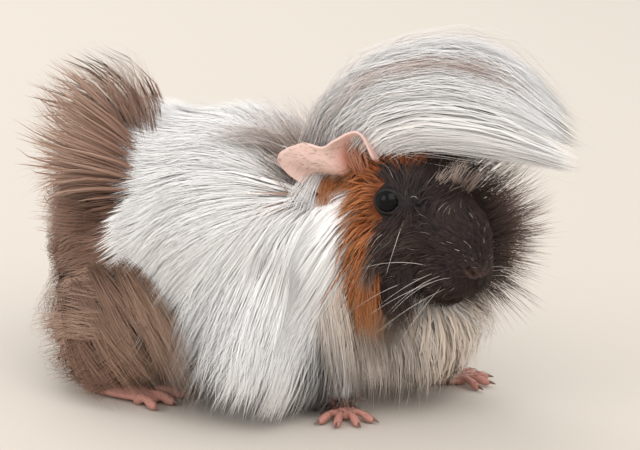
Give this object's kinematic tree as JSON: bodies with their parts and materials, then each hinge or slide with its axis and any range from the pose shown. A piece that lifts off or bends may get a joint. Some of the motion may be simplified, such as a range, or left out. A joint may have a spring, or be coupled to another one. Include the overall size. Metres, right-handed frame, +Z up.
{
  "type": "guinea pig",
  "caption": "Life-size long-haired guinea pig, standing with its head turned to its right, white saddle and forelock, brown rump, dark face.",
  "frame": {"origin": "on the floor, under the middle of the coat's box", "axes": "+Z up; the trunk points along -Y, so the animal's right side is towards -X and its head is turned that way"},
  "size_m": [0.1472, 0.2336, 0.1509],
  "materials": {
    "white_coat": "long fine silky hair in locks, warm white with taupe streaks at the parting and the forelock's tip",
    "brown_coat": "long soft hair, dark brown at the root and greyed beige at the tip",
    "face_coat": "short dark brown fur with pale grizzled hairs on the brow and an orange band from brow to jaw",
    "bare_skin": "thin pink skin with fine wrinkles, soft sheen and short pale down",
    "eye": "wet glossy near-black eye"
  },
  "bodies": {
    "root": {"head": "face_coat", "muzzle": "face_coat", "forelock": "white_coat", "neck": "white_coat", "trunk": "white_coat", "rump": "brown_coat", "ear_right": "bare_skin", "ear_left": "bare_skin", "eye_right": "eye", "eye_left": "eye", "foreleg_right": "white_coat", "foreleg_left": "white_coat", "hindleg_right": "brown_coat", "hindleg_left": "brown_coat", "forefoot_right": "bare_skin", "forefoot_left": "bare_skin", "hindfoot_right": "bare_skin", "hindfoot_left": "bare_skin"}
  },
  "joints": []
}
